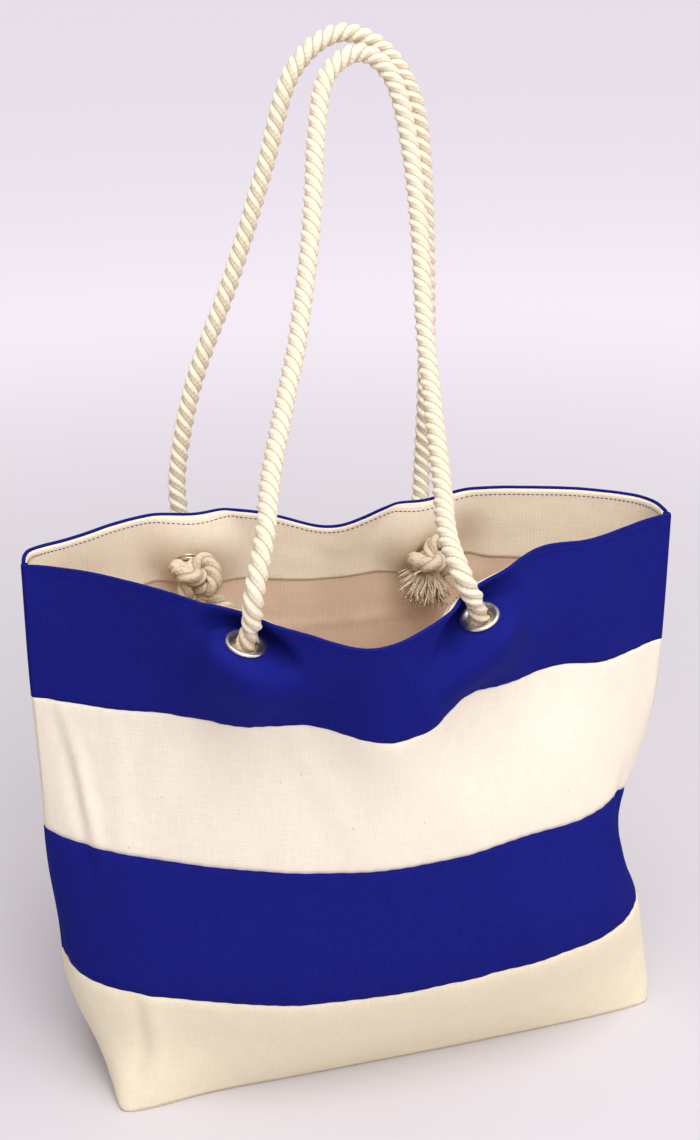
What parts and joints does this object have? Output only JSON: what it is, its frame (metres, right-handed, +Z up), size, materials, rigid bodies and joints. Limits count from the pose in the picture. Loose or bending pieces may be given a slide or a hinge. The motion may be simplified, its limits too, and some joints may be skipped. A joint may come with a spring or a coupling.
{
  "type": "beach bag",
  "caption": "Open-topped canvas beach bag in navy and cream stripes, lined, with two twisted cotton rope handles knotted behind nickel eyelets and raised overhead.",
  "frame": {"origin": "centre of the flat bottom panel's outer face", "axes": "+Z up, from the bottom to the rim and the raised handles; +X along the wide front and back panels"},
  "size_m": [0.4683, 0.3289, 0.7343],
  "materials": {
    "navy_canvas": "matte",
    "cream_canvas": "matte",
    "bottom_canvas": "matte",
    "facing_cloth": "matte",
    "lining_cloth": "matte",
    "cotton_rope": "matte",
    "nickel": "polished"
  },
  "bodies": {
    "bag": {"front_top_band": "navy_canvas", "front_lower_band": "navy_canvas", "front_upper_cream": "cream_canvas", "front_bottom_cream": "bottom_canvas", "front_facing": "facing_cloth", "front_lining": "lining_cloth", "front_left_eyelet": "nickel", "front_right_eyelet": "nickel", "front_left_washer": "nickel", "front_right_washer": "nickel", "front_left_knot": "cotton_rope", "front_right_knot": "cotton_rope", "back_top_band": "navy_canvas", "back_lower_band": "navy_canvas", "back_upper_cream": "cream_canvas", "back_bottom_cream": "bottom_canvas", "back_facing": "facing_cloth", "back_lining": "lining_cloth", "back_left_eyelet": "nickel", "back_right_eyelet": "nickel", "back_left_washer": "nickel", "back_right_washer": "nickel", "back_left_knot": "cotton_rope", "back_right_knot": "cotton_rope", "bottom_panel": "bottom_canvas", "bottom_lining": "lining_cloth", "left_side_seam": "cream_canvas", "right_side_seam": "cream_canvas"},
    "front_handle": {"front_handle_rope": "cotton_rope"},
    "back_handle": {"back_handle_rope": "cotton_rope"}
  },
  "joints": [
    {"name": "front_handle_swing", "type": "hinge", "parent": "bag", "child": "front_handle", "pos_m": [-0.1032, -0.1065, 0.3822], "axis": [0.9986, -0.0532, 0.0046], "range_deg": [0, 115]},
    {"name": "back_handle_swing", "type": "hinge", "parent": "bag", "child": "back_handle", "pos_m": [-0.1026, 0.1188, 0.3581], "axis": [-0.9971, 0.0708, 0.0272], "range_deg": [0, 115]}
  ]
}
